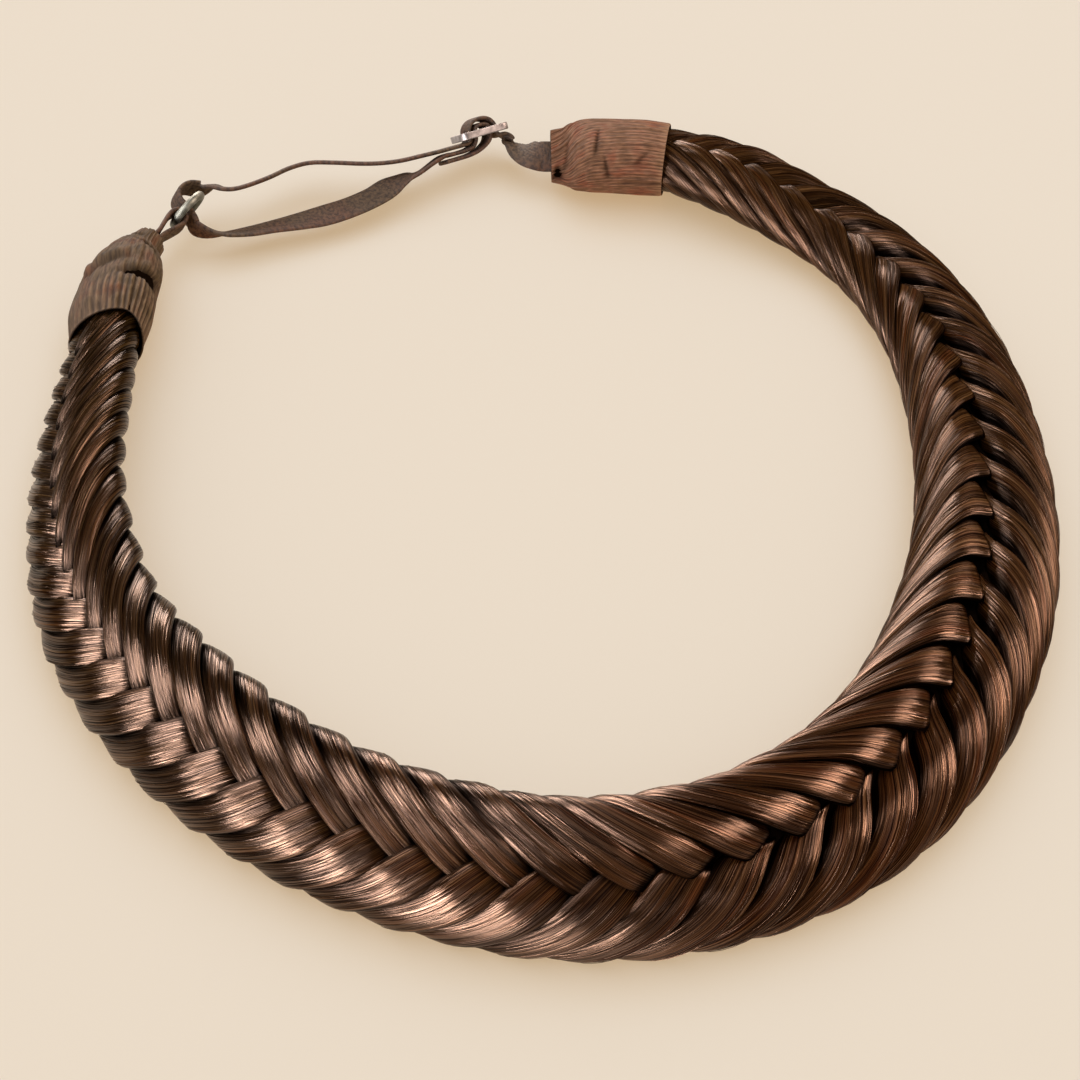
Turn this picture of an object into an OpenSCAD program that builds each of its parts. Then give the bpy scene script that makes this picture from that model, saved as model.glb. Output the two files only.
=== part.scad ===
// Braided headband. A fishtail braid of synthetic hair runs round the head, and a short
// elastic strap with a ring and a slider closes it behind. The headband lies on a flat surface
// with the front of the braid at -Y. Sizes are in millimetres.

/* [Braid] */
// Thickness of the braid as a share of its width
thickness_share = 0.6; // [0.54:0.02:0.64]
// Locks in each of the two rows
lock_count = 51; // [45:1:54]
// Depth of the valley between two neighbouring locks
lock_relief = 1.4; // [0.6:0.1:1.6]
// Depth of the trough where the two rows meet, as a share of the braid's radius
spine_trough = 0.26; // [0.15:0.01:0.3]
// Sides of the braid's section
braid_sides = 24; // [20:2:28]

/* [Sleeves] */
// Thickness of the knitted sleeves
sleeve_wall = 1.2; // [1:0.1:1.3]
// Depth of the gathers at a sleeve's neck, as a share of its radius
gather_depth = 0.09; // [0:0.01:0.1]
// Gathers round a sleeve's neck
gather_count = 9; // [6:1:12]

/* [Strap] */
// Thickness of the elastic strap
strap_t = 1; // [0.9:0.05:1]
// Width of the elastic strap
strap_w = 7; // [6.4:0.1:7.2]

/* [Ring and slider] */
// Outer diameter of the ring
ring_d = 10.6; // [10.4:0.1:10.8]
// Thickness of the ring's wire
ring_wire = 1.8; // [1.6:0.1:1.8]
// Width of each of the slider's three bars
bar_w = 1.8; // [1.4:0.1:1.8]
// Width of each of the slider's two slots
slot_w = 3.2; // [3.2:0.05:3.5]
// Length of the slots, across the strap
slot_l = 7.8; // [7.8:0.1:8.4]
// Thickness of the slider
slider_t = 1.6; // [1.2:0.1:1.6]

/* [Hidden] */

// Columns of the tables that follow a path round the head
X = 0;
Y = 1;
Z = 2;
HALF_W = 3;
HALF_T = 4;
TILT = 5;

// Centre line of the braid, from the left sleeve round the front to the right sleeve. Columns:
// angle round the head from the front, radius, half width, tilt of the upper face, length of a
// lock along the braid, share of the outer and of the inner locks' slant, lift off the surface
LOOP = [
    [-120, 103, 7.4, 46, 6.5, 0.6, 1.2, 1.8],
    [-113, 96.9, 9.2, 46, 6.6, 0.6, 1.3, 1.6],
    [-100, 91, 10.8, 48, 6.7, 0.6, 1.4, 0.4],
    [-82, 88.6, 11.2, 56, 6.9, 0.6, 1.5, 0],
    [-65, 87.7, 11.8, 66, 7.6, 0.7, 1.3, 0],
    [-45, 86, 13.1, 61, 8.6, 0.9, 1.1, 0],
    [-20, 87.5, 12.9, 59, 9.1, 1, 1, 0],
    [10, 92.8, 13.2, 50, 9.4, 1, 1, 0],
    [35, 92.5, 13.8, 67, 9.7, 0.9, 0.8, 0],
    [65, 87.2, 13.9, 84, 10.1, 0.7, 0.7, 0],
    [95, 86.8, 12.4, 90, 10.2, 0.6, 0.6, 0],
    [130, 95.8, 10.2, 92, 9.8, 0.6, 0.6, 0.2],
    [142, 96.8, 10.2, 85, 9.4, 0.7, 0.7, 0.8],
    [153, 98, 11.2, 77, 9.2, 0.8, 0.8, 1.3],
    [163, 98.9, 10, 73, 9, 0.8, 0.8, 1.7],
    [171, 97.3, 8, 73, 9, 0.8, 0.8, 2]
];
LOOP_LAST = len(LOOP) - 1;

// How far a lock trails behind its tip. Columns: degrees round the section from the spine, mm
OUTER_TRAIL = [[0, 0], [12, 2.4], [25, 4.8], [40, 8], [55, 12], [75, 16], [90, 18], [180, 25]];
INNER_TRAIL = [[0, 0], [12, 3.6], [25, 9], [40, 14], [55, 18], [75, 22], [90, 23], [180, 25]];
// Length over which the locks' slant fades out at each end, inside and beside the sleeves
SLANT_FADE = 56;
// Rings of points for each lock: one in the valley and two on the crest
LOCK_RINGS = 3;
// Height of the surface above the valley, as a share of the relief, at those rings
LOCK_SHAPE = [0, 0.95, 0.9];
TROUGH_WIDTH = 0.3;
UNDER_TROUGH = 0.4;
PATH_STEPS = 260;

// Left sleeve from its neck to its mouth, and right sleeve from its mouth to its neck.
// Columns: x, y, z, half width, half thickness, tilt of the upper face
LEFT_SLEEVE = [
    [-84.8, 64.8, 8.8, 5.7, 3.6, 31],
    [-85.8, 62.8, 9, 6.1, 4.2, 35],
    [-87.1, 60, 9.3, 7.2, 5.3, 42],
    [-88, 55.6, 9.4, 9.3, 6.9, 46],
    [-88.8, 49.5, 9.5, 10.8, 7.5, 46],
    [-89.2, 42, 9.7, 11.3, 7.7, 46],
    [-89.1, 34.5, 9.6, 11.1, 7.5, 46]
];
RIGHT_SLEEVE = [
    [29.4, 94.7, 8.3, 11.8, 7.7, 73],
    [23.4, 95.6, 8.3, 12, 7.8, 73],
    [17.4, 96.3, 8.2, 12, 7.6, 75],
    [12, 96.6, 8.1, 11.6, 7.3, 78],
    [8.6, 96.5, 8, 10.2, 6.1, 86],
    [5.8, 96.4, 8, 7, 3.8, 110],
    [3, 96.3, 8, 5.7, 2.7, 130]
];
SLEEVE_SIDES = 30;
SLEEVE_STEPS = 12;

// Ring: its centre and the way it faces
RING_POS = [-78, 76.7, 8.5];
RING_FACE = [-0.74, 0.42, 0.525];
ring_r = (ring_d - ring_wire) / 2;
ring_n = unit(RING_FACE);
// In the ring's plane: towards the left sleeve's neck, and across the strap
neck_way = [for (i = [X, Y, Z]) LEFT_SLEEVE[0][i]] - RING_POS;
ring_a = unit(neck_way - (neck_way * ring_n) * ring_n);
ring_b = unit(cross(ring_a, ring_n));

// Slider: its centre, the way the strap runs through it and the way its bars run
SLIDER_POS = [-13.6, 103.7, 9];
SLIDER_RUN = [0.908, 0.418, 0];
SLIDER_BARS = [-0.323, 0.702, -0.634];
slider_u = unit(SLIDER_RUN);
slider_n = unit(cross(slider_u, SLIDER_BARS));
slider_v = cross(slider_n, slider_u);
slider_l = 3 * bar_w + 2 * slot_w;
slider_w = slot_l + 2 * bar_w - 1;
SLIDER_CORNER = 1.5;
SLOT_CORNER = 0.6;

// Directions across the strap: on edge between ring and slider, flat, and into the right sleeve
ON_EDGE = [-0.11, 0.78, -0.616];
LYING = [0, 1, 0];
AT_NECK = [0, 0.766, 0.643];

// Half of the tab through the ring. Columns: distance from the ring's centre towards the
// sleeve's neck, distance off the ring's plane, width
TAB_HALF = [[15.6, 0.64, 5.2], [13.2, 0.64, 5.2], [10, 0.7, 5.2], [7, 1.35, 4.8], [5.2, 1.72, 4.4],
    [3.9, 1.76, 4.2], [2.7, 1.35, 4.2], [2.12, 0.62, 4.2], [2.04, 0, 4.2]];

// Strap through the slider's slots. Columns: along the strap from the middle bar, off the plate
SEWN_FOLD = [[-10.5, -4.3], [-7, -4.3], [-4, -4.2], [-1.4, -3.6], [0.7, -2.5], [1.65, -1.2],
    [1.75, 0], [1.6, 1.1], [0.95, 1.62], [0, 1.75], [-0.95, 1.62], [-1.6, 1.1], [-1.75, 0],
    [-2.1, -1.4], [-3.1, -2.6], [-5, -3], [-8, -3], [-10.5, -3]];
OVER_PASS = [[-10.5, -1.6], [-8, -1.6], [-5.4, -1.65], [-4.1, -1.62], [-3.35, -1.15], [-3.2, 0],
    [-3.05, 1.3], [-2.3, 2.4], [-1.2, 3], [0, 3.12], [1.2, 3], [2.3, 2.4], [3.05, 1.3], [3.2, 0],
    [3.35, -1.15], [4.1, -1.62], [5.4, -1.8], [6.6, -2.9]];
// Strap round the ring's wire. Columns: distance from the ring's centre away from the sleeve,
// distance off the ring's plane, width
RING_TURN = [[-1.9, -4.6, 5.2], [-1.3, -2.4, 5.6], [-0.7, -0.2, 6], [-0.6, 1.9, 6], [0.2, 3.4, 6],
    [2.1, 4.2, 6], [4.6, 3.6, 6], [6.8, 1.4, 6.2]];
// Free runs of the strap: slider to ring below, ring to slider above, slider to right sleeve.
// Each row is a place and the direction across the strap
LOWER_RUN = [[[-27, 91.8, 7], ON_EDGE], [[-30.4, 90.2, 6.6], ON_EDGE + LYING],
    [[-33.6, 88, 6], LYING], [[-37.2, 84.8, 5.6], LYING], [[-42.4, 81.6, 5.2], LYING],
    [[-48, 79, 5], LYING], [[-53.4, 77, 5], ON_EDGE + 3 * LYING],
    [[-59, 75.1, 5.1], ON_EDGE + LYING],
    [[-64.4, 72.9, 5.5], 2 * ON_EDGE + LYING], [[-69.6, 71.6, 6], ON_EDGE]];
UPPER_RUN = [[[-73.2, 83.4, 9.8], ON_EDGE], [[-70.6, 82.6, 9.7], ON_EDGE],
    [[-68, 83, 9.4], ON_EDGE], [[-64.8, 84.8, 9.1], ON_EDGE], [[-60.6, 87.6, 9], ON_EDGE],
    [[-56.4, 90.8, 9], ON_EDGE], [[-52, 92.7, 9], ON_EDGE], [[-46.4, 92.9, 8.9], ON_EDGE],
    [[-40.6, 92.8, 8.7], ON_EDGE], [[-36, 93.2, 8.5], ON_EDGE], [[-31.5, 94.2, 8.4], ON_EDGE],
    [[-27, 96, 8.3], ON_EDGE]];
SLEEVE_RUN = [[[-5.9, 104, 5.9], ON_EDGE], [[-4.8, 101.9, 6.8], 2 * ON_EDGE + LYING],
    [[-3.1, 99, 7.6], LYING], [[-1.2, 96.9, 8], LYING + AT_NECK], [[1.2, 96.3, 8], AT_NECK],
    [[4.2, 96.3, 8], AT_NECK], [[7, 96.3, 8], AT_NECK]];
STRAP_STEPS = 2;

// Unit vector along v
function unit(v) = v / norm(v);
// Smooth curve through the rows of a table, at a place counted in rows
function smooth_row(rows, t) =
    let (i = min(floor(t), len(rows) - 2), f = t - i,
         a = rows[max(i - 1, 0)], b = rows[i], c = rows[i + 1], d = rows[min(i + 2, len(rows) - 1)])
    (2 * b + (c - a) * f + (2 * a - 5 * b + 4 * c - d) * f * f
        + (3 * b - a - 3 * c + d) * f * f * f) / 2;
// A table with extra smooth rows between its own
function finer(rows, steps) =
    [for (i = [0:steps * (len(rows) - 1)]) smooth_row(rows, i / steps)];
// Unit direction of travel at row i, level for a path round the head
function heading(rows, i) =
    unit(rows[min(i + 1, len(rows) - 1)] - rows[max(i - 1, 0)]);

// Level direction out of the loop for a level heading
function outward(way) = [way.y, -way.x, 0];
// Point of a tilted oval section: angle 90 is the middle of its upper face, 0 its outer edge
function section_point(centre, out, half_w, half_t, tilt, angle) =
    centre + half_w * cos(angle) * (sin(tilt) * out - cos(tilt) * [0, 0, 1])
        + half_t * sin(angle) * (cos(tilt) * out + sin(tilt) * [0, 0, 1]);

// Braid. The path is sampled evenly in table rows, then read by its length or by its lock
function loop_centre(row) =
    [row[1] * sin(row[0]), -row[1] * cos(row[0]),
     norm([row[2] * cos(row[3]), thickness_share * row[2] * sin(row[3])]) + row[7]];
path_t = [for (i = [0:PATH_STEPS]) LOOP_LAST * i / PATH_STEPS];
path_rows = [for (t = path_t) smooth_row(LOOP, t)];
path_places = [for (r = path_rows) loop_centre(r)];
path_hops = [for (i = [1:PATH_STEPS]) norm(path_places[i] - path_places[i - 1])];
path_len = [for (i = 0, sum = 0; i <= PATH_STEPS;
                 sum = sum + (i < PATH_STEPS ? path_hops[i] : 0), i = i + 1) sum];
path_lock = [for (i = 0, sum = 0; i <= PATH_STEPS;
                  sum = sum + (i < PATH_STEPS ? path_hops[i] / path_rows[i][4] : 0), i = i + 1) sum];
braid_len = path_len[PATH_STEPS];
len_of_lock = [for (i = [0:PATH_STEPS])
    [path_lock[i] * lock_count / path_lock[PATH_STEPS], path_len[i]]];
t_of_len = [for (i = [0:PATH_STEPS]) [path_len[i], path_t[i]]];

function slant_fade(s) = min(1, s / SLANT_FADE, (braid_len - s) / SLANT_FADE);
function braid_trail(row, angle, outer) =
    let (from_spine = abs(angle - 90),
         own = outer ? row[5] : row[6],
         share = from_spine < 90 ? own : own + ((row[5] + row[6]) / 2 - own) * (from_spine - 90) / 90)
    share * lookup(from_spine, outer ? OUTER_TRAIL : INNER_TRAIL);
// The trough narrows the section towards the spine, and less so on the underside
function trough(angle) =
    1 - spine_trough * (sin(angle) > 0 ? 1 : UNDER_TROUGH) * exp(-pow(cos(angle) / TROUGH_WIDTH, 2));
function braid_point(ring, angle) =
    let (lock = ring / LOCK_RINGS,
         outer = abs(angle) < 90,
         tip = lookup(lock, len_of_lock),
         fade = slant_fade(tip),
         shifted = lookup(min(lock + (outer ? fade / 2 : 0), lock_count), len_of_lock),
         tip_row = smooth_row(LOOP, lookup(tip, t_of_len)),
         s = shifted - fade * braid_trail(tip_row, angle, outer),
         t = lookup(s, t_of_len),
         row = smooth_row(LOOP, t),
         ahead = loop_centre(smooth_row(LOOP, min(t + 0.02, LOOP_LAST))),
         behind = loop_centre(smooth_row(LOOP, max(t - 0.02, 0))),
         out = outward(unit([ahead.x - behind.x, ahead.y - behind.y, 0])),
         sink = lock_relief * (1 - LOCK_SHAPE[ring % LOCK_RINGS]))
    section_point(loop_centre(row), out, row[2] * trough(angle) - sink,
                  thickness_share * row[2] * trough(angle) - sink, row[3], angle);
braid_rings = [for (ring = [0:LOCK_RINGS * lock_count])
    [for (j = [0:braid_sides - 1]) braid_point(ring, -90 + 360 * (j + 0.5) / braid_sides)]];

// Sleeve. Its rings run along the outer face and back along the inner one
function gathers(angle, neck_share) =
    1 + gather_depth * neck_share * cos(gather_count * angle);
function sleeve_ring(rows, i, inset, neck_first) =
    let (row = rows[i], last = len(rows) - 1,
         way = heading([for (r = rows) [r[X], r[Y], 0]], i),
         depth = (neck_first ? last - i : i) / last)
    [for (j = [0:SLEEVE_SIDES - 1])
        let (angle = 360 * j / SLEEVE_SIDES, pull = gathers(angle, sin(180 * pow(depth, 2))))
        section_point([row[X], row[Y], row[Z]], outward(way), row[HALF_W] * pull - inset,
                      row[HALF_T] * pull - inset, row[TILT], angle)];
function sleeve_rings(table, neck_first) =
    let (rows = finer(table, SLEEVE_STEPS / (len(table) - 1)), last = len(rows) - 1)
    [for (i = [0:last]) sleeve_ring(rows, i, 0, neck_first),
     for (i = [0:last]) sleeve_ring(rows, last - i, sleeve_wall, neck_first)];

// Flat strap. A row is a place, a direction across the strap and a width
function strap_row(place, across, width) = concat(place, unit(across), [width]);
function strap_rings(rows) =
    let (places = [for (r = rows) [r[0], r[1], r[2]]])
    [for (i = [0:len(rows) - 1])
        let (way = heading(places, i),
             across = [rows[i][3], rows[i][4], rows[i][5]],
             side = unit(across - (across * way) * way) * rows[i][6] / 2,
             up = unit(cross(way, side)) * strap_t / 2)
        [places[i] - side - up, places[i] - side + up, places[i] + side + up, places[i] + side - up]];
function at_slider(p) = SLIDER_POS + p[0] * slider_u + p[1] * slider_n;
function at_ring(towards_neck, off) = RING_POS + towards_neck * ring_a + off * ring_n;
strap_table = concat(
    [for (p = SEWN_FOLD) strap_row(at_slider(p), slider_v, strap_w)],
    [for (r = LOWER_RUN) strap_row(r[0], r[1], strap_w)],
    [for (r = RING_TURN) strap_row(at_ring(-r[0], r[1]), ring_b, r[2])],
    [for (r = UPPER_RUN) strap_row(r[0], r[1], strap_w)],
    [for (p = OVER_PASS) strap_row(at_slider(p), slider_v, strap_w)],
    [for (r = SLEEVE_RUN) strap_row(r[0], r[1], strap_w)]);
strap_loops = strap_rings(finer(strap_table, STRAP_STEPS));
tab_table = [
    for (r = TAB_HALF) strap_row(at_ring(r[0], r[1]), ring_b, r[2]),
    for (i = [len(TAB_HALF) - 2:-1:0]) strap_row(at_ring(TAB_HALF[i][0], -TAB_HALF[i][1]), ring_b,
                                                TAB_HALF[i][2])];

// The origin is moved to the middle of the headband's box, on the surface it lies on
slider_corners = [for (a = [-1, 1], b = [-1, 1])
    SLIDER_POS + a * slider_l / 2 * slider_u + b * slider_w / 2 * slider_v];
extent = [each [for (r = braid_rings) each r], each [for (r = sleeve_rings(LEFT_SLEEVE, true)) each r],
    each [for (r = sleeve_rings(RIGHT_SLEEVE, false)) each r], each [for (r = strap_loops) each r],
    each slider_corners];
low = [for (i = [X, Y, Z]) min([for (p = extent) p[i]])];
high = [for (i = [X, Y, Z]) max([for (p = extent) p[i]])];
home = [-(low.x + high.x) / 2, -(low.y + high.y) / 2, -low.z];

// Closed skin over rings of points. A looped skin joins its last ring to its first, any other
// gets flat ends. Quads with a column number below turn are split along the other diagonal
module skin(rings, looped = false, turn = 0) {
    sides = len(rings[0]);
    spans = looped ? len(rings) : len(rings) - 1;
    walls = [for (i = [0:spans - 1], j = [0:sides - 1])
        let (k = (j + 1) % sides, n = (i + 1) % len(rings),
             a = i * sides + j, b = i * sides + k, c = n * sides + k, d = n * sides + j)
        each (j < turn ? [[a, b, c], [a, c, d]] : [[a, b, d], [b, c, d]])];
    ends = looped ? [] : [[for (j = [sides - 1:-1:0]) j],
        [for (j = [0:sides - 1]) (len(rings) - 1) * sides + j]];
    translate(home)
        polyhedron(points = [for (r = rings) each r], faces = concat(walls, ends), convexity = 10);
}

module hair_braid() {
    color("#4a3426") skin(braid_rings, turn = braid_sides / 2);
}

module left_wrap() {
    color("#6e4a37") skin(sleeve_rings(LEFT_SLEEVE, true), looped = true);
}

module right_wrap() {
    color("#94634a") skin(sleeve_rings(RIGHT_SLEEVE, false), looped = true);
}

module ring_tab() {
    color("#5d4a3c") skin(strap_rings(finer(tab_table, STRAP_STEPS)));
}

module elastic_strap() {
    color("#6b5040") skin(strap_loops);
}

module ring() {
    color("#aab2ab")
        translate(home + RING_POS)
            multmatrix([for (i = [X, Y, Z]) [ring_a[i], ring_b[i], -ring_n[i], 0]])
                rotate_extrude($fn = 64)
                    translate([ring_r, 0])
                        circle(d = ring_wire, $fn = 32);
}

// Flat rectangle with round corners, centred
module round_rectangle(size, corner) {
    inner = size - 2 * [corner, corner];
    square([size.x, inner.y], center = true);
    square([inner.x, size.y], center = true);
    for (a = [-1, 1], b = [-1, 1])
        translate([a * inner.x / 2, b * inner.y / 2])
            circle(r = corner, $fn = 32);
}

module slider() {
    color("#c9c6c8")
        translate(home + SLIDER_POS)
            multmatrix([for (i = [X, Y, Z]) [slider_u[i], slider_v[i], -slider_n[i], 0]])
                linear_extrude(slider_t, center = true)
                    difference() {
                        round_rectangle([slider_l, slider_w], SLIDER_CORNER);
                        for (side = [-1, 1])
                            translate([side * (bar_w + slot_w) / 2, 0])
                                round_rectangle([slot_w, slot_l], SLOT_CORNER);
                    }
}

hair_braid();
left_wrap();
right_wrap();
ring_tab();
ring();
elastic_strap();
slider();
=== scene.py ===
"""Looks of a braided headband: a fishtail braid of synthetic hair that runs round the head, with a
knitted sleeve on each end and a short elastic strap, a ring and a slider behind."""

import bmesh
import bpy
import numpy as np
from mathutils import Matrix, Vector


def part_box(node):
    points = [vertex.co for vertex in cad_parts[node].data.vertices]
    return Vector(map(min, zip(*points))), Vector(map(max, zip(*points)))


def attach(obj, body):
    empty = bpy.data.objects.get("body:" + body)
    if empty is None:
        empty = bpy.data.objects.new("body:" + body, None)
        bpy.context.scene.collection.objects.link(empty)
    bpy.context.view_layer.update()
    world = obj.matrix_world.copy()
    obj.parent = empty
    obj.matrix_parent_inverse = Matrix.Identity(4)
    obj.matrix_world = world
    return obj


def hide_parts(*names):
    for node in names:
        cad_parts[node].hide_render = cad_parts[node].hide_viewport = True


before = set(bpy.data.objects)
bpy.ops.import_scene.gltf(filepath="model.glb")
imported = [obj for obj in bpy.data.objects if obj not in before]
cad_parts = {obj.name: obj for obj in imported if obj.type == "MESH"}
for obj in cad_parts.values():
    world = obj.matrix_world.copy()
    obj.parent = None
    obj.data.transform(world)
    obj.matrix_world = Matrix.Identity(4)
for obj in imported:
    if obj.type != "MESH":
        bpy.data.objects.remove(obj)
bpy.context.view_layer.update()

MM = 0.001
TAU = 2 * np.pi
UP = np.array([0, 0, 1.0])
SEED = 51
# One unit of the UV maps, in mm
UV_MM = 100

# Centre line of the braid, from the left sleeve round the front to the right sleeve, in mm.
# Columns: angle round the head from the front, radius, half width, tilt of the upper face, length
# of a lock along the braid, lift
ANGLE, RADIUS, HALF_WIDTH, TILT, PITCH, LIFT = range(6)
LOOP = np.array([
    [-120, 103, 7.4, 46, 6.5, 1.8],
    [-113, 96.9, 9.2, 46, 6.6, 1.6],
    [-100, 91, 10.8, 48, 6.7, 0.4],
    [-82, 88.6, 11.2, 56, 6.9, 0],
    [-65, 87.7, 11.8, 66, 7.6, 0],
    [-45, 86, 13.1, 61, 8.6, 0],
    [-20, 87.5, 12.9, 59, 9.1, 0],
    [10, 92.8, 13.2, 50, 9.4, 0],
    [35, 92.5, 13.8, 67, 9.7, 0],
    [65, 87.2, 13.9, 84, 10.1, 0],
    [95, 86.8, 12.4, 90, 10.2, 0],
    [130, 95.8, 10.2, 92, 9.8, 0.2],
    [142, 96.8, 10.2, 85, 9.4, 0.8],
    [153, 98, 11.2, 77, 9.2, 1.3],
    [163, 98.9, 10, 73, 9, 1.7],
    [171, 97.3, 8, 73, 9, 2]])
THICKNESS_SHARE = 0.6
# Locks of a row: those that the braid's length holds, the first of the right half, and the last,
# inside the right sleeve
LOCK_COUNT = 51
MIDDLE_LOCK = 26
LAST_LOCK = LOCK_COUNT + 4
# How far a lock trails behind its tip, in mm. Rows: every 20 degrees round the section, from 20
# past the spine to 180. Columns: the tip's angle round the head
TRAIL_STEP = 20
INNER_AT = [-100, -75, -50, -15, 35, 80, 115, 150]
INNER_TRAIL = np.array([
    [-5.5, -9.5, -7.8, -6.5, -4.5, -1.6, -4.5, -7],
    [0, 0, 0, 0, 0, 0, 0, 0],
    [5.5, 9, 8, 6.9, 4.8, 2, 4.5, 7],
    [10.5, 16.5, 15.5, 13.8, 10.4, 7, 10, 13.5],
    [15, 21.5, 20.5, 18.7, 15.8, 14.5, 17, 20],
    [18.5, 25, 24, 22, 20.5, 22.5, 23.5, 25.5],
    [21, 27.5, 26.5, 24, 25, 30, 29.5, 30],
    [23, 29.5, 28.3, 25.2, 28, 36, 34, 34],
    [24.5, 31.5, 29.5, 26, 31, 40.5, 38, 37],
    [26, 33, 30.7, 27, 33.5, 44, 41, 40],
    [27.5, 34.5, 32, 28, 36, 47, 44, 43]])
OUTER_AT = [-100, -50, -15, 35, 80, 115, 150]
OUTER_TRAIL = np.array([
    [-2.2, -3.2, -3.8, -4.2, -5.2, -5, -3.5],
    [0, 0, 0, 0, 0, 0, 0],
    [2.2, 3.2, 3.8, 4.2, 5.2, 5, 3.5],
    [4.8, 6.8, 8, 9, 11.5, 10.5, 8],
    [7.6, 10.8, 12.7, 14.5, 18.5, 17, 13],
    [9.9, 14, 16.4, 20, 25, 23, 17.5],
    [11.4, 16, 18.7, 24, 30.5, 28, 21.5],
    [12, 17, 20, 27.5, 35, 32, 24.5],
    [12.5, 17.8, 21, 30.5, 38.5, 35, 27.5],
    [13.2, 18.6, 22, 33, 41.5, 38, 30],
    [14, 19.5, 23, 35, 44, 41, 32.5]])

# Sleeves. Columns: x, y, z, half width and half thickness in mm, tilt of the upper face
LEFT_SLEEVE = np.array([
    [-84.8, 64.8, 8.8, 5.7, 3.6, 31],
    [-85.8, 62.8, 9, 6.1, 4.2, 35],
    [-87.1, 60, 9.3, 7.2, 5.3, 42],
    [-88, 55.6, 9.4, 9.3, 6.9, 46],
    [-88.8, 49.5, 9.5, 10.8, 7.5, 46],
    [-89.2, 42, 9.7, 11.3, 7.7, 46],
    [-89.1, 34.5, 9.6, 11.1, 7.5, 46]])
RIGHT_SLEEVE = np.array([
    [29.4, 94.7, 8.3, 11.8, 7.7, 73],
    [23.4, 95.6, 8.3, 12, 7.8, 73],
    [17.4, 96.3, 8.2, 12, 7.6, 75],
    [12, 96.6, 8.1, 11.6, 7.3, 78],
    [8.6, 96.5, 8, 10.2, 6.1, 86],
    [5.8, 96.4, 8, 7, 3.8, 110],
    [3, 96.3, 8, 5.7, 2.7, 130]])
SLEEVE_WALL = 1.2
# Width of a rib in its pattern, in mm, and counts: points round each rib, rings outside, rings inside
RIB_PATTERN = 1.6
RIB_SIDES = 6
SLEEVE_RINGS = 97
INNER_RINGS = 7

# Creases: share of the length from the mouth, middle in degrees round the sleeve, change of that
# share per 100 degrees, reach in degrees, width as a share of the length, depth in mm (a ridge
# below 0), and how dark the painted shade in the crease is
LEFT_CREASES = [
    [0.27, 182, 0.06, 42, 0.034, 1.7, 1.0],
    [0.385, 112, 0.1, 44, 0.04, -0.9, 0.0],
    [0.33, 112, 0.1, 40, 0.025, 0.4, 0.45],
    [0.6, 175, -0.15, 26, 0.035, 0.7, 0.6],
    [0.78, 130, 0.1, 30, 0.03, 0.4, 0.4]]
RIGHT_CREASES = [
    [0.91, 150, 0.0, 27, 0.055, 1.6, 1.0],
    [0.45, 122, 0.05, 22, 0.016, 0.4, 0.75],
    [0.37, 166, -0.1, 20, 0.018, 0.35, 0.7],
    [0.8, 112, 0.1, 30, 0.03, 0.5, 0.4],
    [0.66, 150, 0.0, 40, 0.03, -0.35, 0.0],
    [0.14, 150, 0.3, 12, 0.02, 0.3, 0.6]]

# Ring, slider and strap, as they lie, in mm
RING_POS = np.array([-78, 76.7, 8.5])
RING_FACE = np.array([-0.74, 0.42, 0.525])
SLIDER_POS = np.array([-13.6, 103.7, 9])
SLIDER_RUN = np.array([0.908, 0.418, 0])
SLIDER_BARS = np.array([-0.323, 0.702, -0.634])
ON_EDGE = np.array([-0.11, 0.78, -0.616])
LYING = np.array([0, 1, 0])
AT_NECK = np.array([0, 0.766, 0.643])
STRAP_T = 1
STRAP_W = 7
# Height of the ridge over each rubber thread
CORD_RIDGE = 0.09

# The tables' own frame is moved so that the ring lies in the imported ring's box
ring_low, ring_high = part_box("ring")
HOME = np.array((ring_low + ring_high) / 2) / MM - RING_POS


# Curves

def unit(v):
    """Vectors divided by their lengths, along the last axis."""
    v = np.asarray(v, float)
    return v / np.maximum(np.linalg.norm(v, axis=-1, keepdims=True), 1e-12)


def smooth_row(rows, t):
    """Catmull-Rom curve through a table's rows, read at the places t, counted in rows."""
    last = len(rows) - 1
    i = np.clip(np.floor(t).astype(int), 0, last - 1)
    f = (np.asarray(t) - i)[..., None]
    a, b, c, d = rows[np.maximum(i - 1, 0)], rows[i], rows[i + 1], rows[np.minimum(i + 2, last)]
    return (2 * b + (c - a) * f + (2 * a - 5 * b + 4 * c - d) * f ** 2
            + (3 * b - a - 3 * c + d) * f ** 3) / 2


def smoothstep(low, high, x):
    """0 below low, 1 above high, and 3f^2 - 2f^3 of the way f between them."""
    f = np.clip((np.asarray(x, float) - low) / (high - low), 0, 1)
    return f * f * (3 - 2 * f)


def cosd(angle):
    """Cosine of degrees."""
    return np.cos(np.radians(angle))


def sind(angle):
    """Sine of degrees."""
    return np.sin(np.radians(angle))


def bell(x, power=2):
    """1 at 0, falling to both sides as exp(-|x|^power)."""
    return np.exp(-np.abs(x) ** power)


def run_length(places):
    """Length in mm along a row of places, from its first one."""
    hop = np.linalg.norm(np.diff(places, axis=-2), axis=-1)
    return np.concatenate([np.zeros(hop.shape[:-1] + (1,)), np.cumsum(hop, -1)], -1)


# Objects

def new_object(name, data):
    """An object that shows the data, linked to the scene."""
    piece = bpy.data.objects.new(name, data)
    bpy.context.scene.collection.objects.link(piece)
    return piece


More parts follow.
